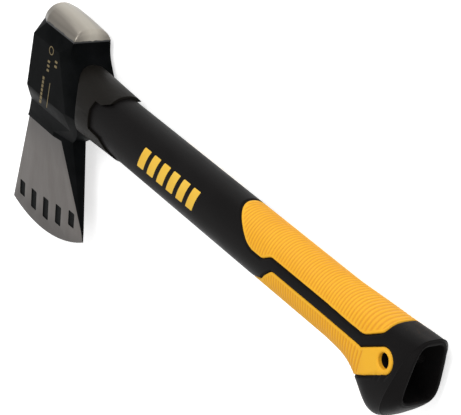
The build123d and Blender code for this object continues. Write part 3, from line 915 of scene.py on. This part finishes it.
jacket = jacket_piece(BLACK)
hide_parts("handle_jacket")

back = panel_piece("back_panel", back_distance, BACK_RANGE, BACK_TURN, BACK_RIB_END, YELLOW)
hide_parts("grip_back_panel")


def belly_or_hole(points):
    """Distance outside the belly panel, with the lanyard hole left open."""
    return np.maximum(belly_distance(points), -hole_distance(points))


belly = panel_piece("belly_panel", belly_or_hole, BELLY_RANGE, BELLY_TURN, BELLY_RIB_END, YELLOW)
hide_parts("grip_belly_panel")

for side, word in ((1, "top"), (-1, "under")):
    eyelet = bore_piece(f"eyelet_{word}", side, HOLE_RADIUS, EYELET_TOP, EYELET_BOTTOM, YELLOW)
    bore = bore_piece(f"bore_{word}", side, HOLE_RADIUS + BORE_CLEARANCE, BORE_TOP, BORE_BOTTOM, BLACK)

shaft_bars(BAR)
cheek_marks(GOLD)

for node, material in (
    ("core_rod", fibre("glass_fibre", (0.35, 0.37, 0.28), (0.5, 0.52, 0.42))),
    ("core_sleeve", fibre("carbon_fibre", (0.012, 0.012, 0.013), (0.035, 0.035, 0.038))),
    ("core_plug", moulded("plug_nylon", (0.02, 0.02, 0.02), (0.03, 0.03, 0.03), 0.5, 1800)),
    ("eye_bond", moulded("adhesive", (0.02, 0.018, 0.015), (0.035, 0.03, 0.025), 0.3, 900)),
):
    mesh = frame["nodes"][node].data
    mesh.materials.clear()
    mesh.materials.append(material)

# ---------------------------------------------------------------- stage, light and camera

SKY_STRENGTH = 0.5
FLOOR_GLOW = 0.6
FLOOR_HALF = 6.0
FLOOR_LEVEL = -0.0005


def seen_directly(nodes, links):
    """1 for camera, glossy and transmission rays, which show the white background, and 0 for the rest."""
    path = nodes.new("ShaderNodeLightPath")
    result = path.outputs["Is Camera Ray"]
    for name in ("Is Glossy Ray", "Is Transmission Ray"):
        larger = nodes.new("ShaderNodeMath")
        larger.operation = "MAXIMUM"
        links.new(result, larger.inputs[0])
        links.new(path.outputs[name], larger.inputs[1])
        result = larger.outputs["Value"]
    return result


def studio_world():
    """Soft pale surroundings, plain white to the rays that see the background."""
    world = bpy.data.worlds.new("studio")
    world.use_nodes = True
    bpy.context.scene.world = world
    nodes, links = world.node_tree.nodes, world.node_tree.links
    sky = nodes["Background"]
    sky.inputs["Color"].default_value = (1, 1, 1, 1)
    sky.inputs["Strength"].default_value = SKY_STRENGTH
    white = nodes.new("ShaderNodeBackground")
    white.inputs["Color"].default_value = (1, 1, 1, 1)
    white.inputs["Strength"].default_value = 1
    chosen = nodes.new("ShaderNodeMixShader")
    links.new(seen_directly(nodes, links), chosen.inputs["Fac"])
    links.new(sky.outputs["Background"], chosen.inputs[1])
    links.new(white.outputs["Background"], chosen.inputs[2])
    links.new(chosen.outputs["Shader"], nodes["World Output"].inputs["Surface"])


def floor_paint():
    """Pale floor, lifted towards white for the rays that see the background."""
    material, nodes, links, shader = new_material("pale_floor", (0.9, 0.9, 0.9), 0.9, specular=0.1)
    glow = nodes.new("ShaderNodeEmission")
    glow.inputs["Strength"].default_value = FLOOR_GLOW
    add = nodes.new("ShaderNodeAddShader")
    links.new(shader.outputs["BSDF"], add.inputs[0])
    links.new(glow.outputs["Emission"], add.inputs[1])
    seen = nodes.new("ShaderNodeMixShader")
    links.new(seen_directly(nodes, links), seen.inputs["Fac"])
    links.new(shader.outputs["BSDF"], seen.inputs[1])
    links.new(add.outputs["Shader"], seen.inputs[2])
    links.new(seen.outputs["Shader"], nodes["Material Output"].inputs["Surface"])
    return material


def pale_floor():
    """Large plain floor just under the tool."""
    corners = [(sx * FLOOR_HALF, sy * FLOOR_HALF, FLOOR_LEVEL)
               for sx, sy in ((-1, -1), (1, -1), (1, 1), (-1, 1))]
    mesh = bpy.data.meshes.new("floor")
    mesh.from_pydata(corners, [], [(0, 1, 2, 3)])
    mesh.materials.append(floor_paint())
    floor = bpy.data.objects.new("floor", mesh)
    bpy.context.scene.collection.objects.link(floor)


def area_light(name, place, size, power):
    """Square soft light aimed at the tool, which lies at the origin."""
    data = bpy.data.lights.new(name, "AREA")
    data.shape = "SQUARE"
    data.size = size
    data.energy = power
    lamp = bpy.data.objects.new(name, data)
    bpy.context.scene.collection.objects.link(lamp)
    turn = (-Vector(place)).to_track_quat("-Z", "Y").to_matrix().to_4x4()
    lamp.matrix_world = Matrix.Translation(place) @ turn


# Camera, fitted to the photograph: its place from the lanyard hole in metres, and its axes
CAMERA_PLACE = Vector((0.64634, 0.46417, 0.60752))
CAMERA_RIGHT = Vector((0.53421386, 0.16518166, -0.82905402))
CAMERA_UP = Vector((-0.43682268, 0.89358104, -0.10343539))
CAMERA_LENS = 166.77


def photo_camera():
    """Camera at the photograph's viewing angle."""
    data = bpy.data.cameras.new("camera")
    data.lens = CAMERA_LENS
    data.sensor_width = 36
    data.clip_start = 0.01
    camera = bpy.data.objects.new("camera", data)
    bpy.context.scene.collection.objects.link(camera)
    axes = Matrix((CAMERA_RIGHT, CAMERA_UP, CAMERA_RIGHT.cross(CAMERA_UP))).transposed()
    camera.matrix_world = Matrix.Translation(CAMERA_PLACE + Vector(ORIGIN)) @ axes.to_4x4()
    bpy.context.scene.camera = camera


studio_world()
pale_floor()
area_light("key", (0.3, 1.4, 1.3), 0.9, 17)
area_light("fill", (1.4, -0.6, 1.2), 1.2, 7)
area_light("rim", (-0.94, 1.44, 0.29), 0.5, 2.6)
photo_camera()
bpy.context.scene.view_settings.view_transform = "Standard"
